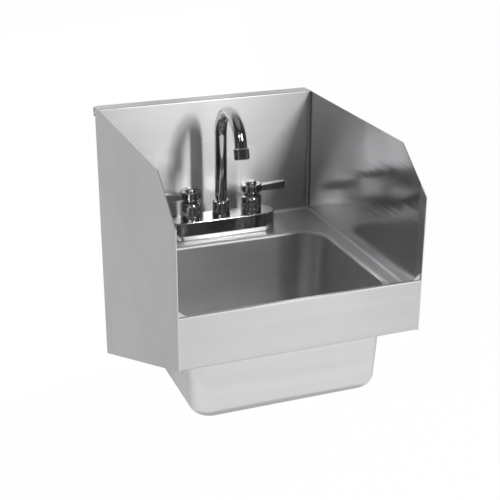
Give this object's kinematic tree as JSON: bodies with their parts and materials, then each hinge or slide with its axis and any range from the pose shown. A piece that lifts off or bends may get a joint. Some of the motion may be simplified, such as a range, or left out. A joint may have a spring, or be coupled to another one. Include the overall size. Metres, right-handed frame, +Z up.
{
  "type": "wall-hung hand basin",
  "caption": "Wall-hung stainless hand basin with a folded backsplash, clipped side splashes, a drawn bowl with a strainer drain, and a lever faucet with a swivelling gooseneck spout.",
  "frame": {"origin": "on the wall plane, on the basin's centre line, level with the top of the deck", "axes": "+X to the user's right, +Y into the wall, +Z up; the user stands at -Y"},
  "size_m": [0.36, 0.418, 0.4445],
  "materials": {
    "sheet_steel": "brushed satin stainless sheet",
    "bracket_steel": "plain mill finish",
    "chrome": "polished chrome plate",
    "brass": "machined, dull",
    "screw_steel": "zinc plated",
    "rubber": "black, matt",
    "white_plastic": "moulded, matt"
  },
  "bodies": {
    "basin": {"basin_top": "sheet_steel", "bowl": "sheet_steel", "left_side_splash": "sheet_steel", "right_side_splash": "sheet_steel", "drain_body": "sheet_steel", "wall_bracket": "bracket_steel", "faucet_base_cover": "chrome", "left_bonnet": "chrome", "right_bonnet": "chrome", "spout_collar": "chrome", "faucet_valve_body": "brass", "shank_locknuts": "brass", "left_cartridge": "brass", "right_cartridge": "brass", "drain_locknut": "brass", "shank_washers": "screw_steel", "drain_gasket": "rubber", "cartridge_seals": "rubber", "spout_o_rings": "rubber", "faucet_base_gasket": "rubber", "drain_washer": "white_plastic"},
    "left_handle": {"left_lever": "chrome", "left_stem": "brass", "left_handle_screw": "screw_steel", "left_index_cap": "chrome"},
    "right_handle": {"right_lever": "chrome", "right_stem": "brass", "right_handle_screw": "screw_steel", "right_index_cap": "chrome"},
    "spout": {"spout_tube": "chrome", "spout_glide_ring": "white_plastic", "aerator_housing": "chrome", "aerator_insert": "white_plastic", "aerator_washer": "rubber"},
    "strainer": {"drain_strainer": "sheet_steel"}
  },
  "joints": [
    {"name": "left_handle_turn", "type": "hinge", "parent": "basin", "child": "left_handle", "pos_m": [-0.0508, -0.084, 0.055], "axis": [0, 0, 1], "range_deg": [0, 90]},
    {"name": "right_handle_turn", "type": "hinge", "parent": "basin", "child": "right_handle", "pos_m": [0.0508, -0.084, 0.055], "axis": [0, 0, 1], "range_deg": [-90, 0]},
    {"name": "spout_swivel", "type": "hinge", "parent": "basin", "child": "spout", "pos_m": [0, -0.084, 0.035], "axis": [0, 0, 1], "range_deg": [-115, 115]},
    {"name": "strainer_lift", "type": "slide", "parent": "basin", "child": "strainer", "axis": [0, 0, 1], "range_m": [0, 0.2]}
  ]
}
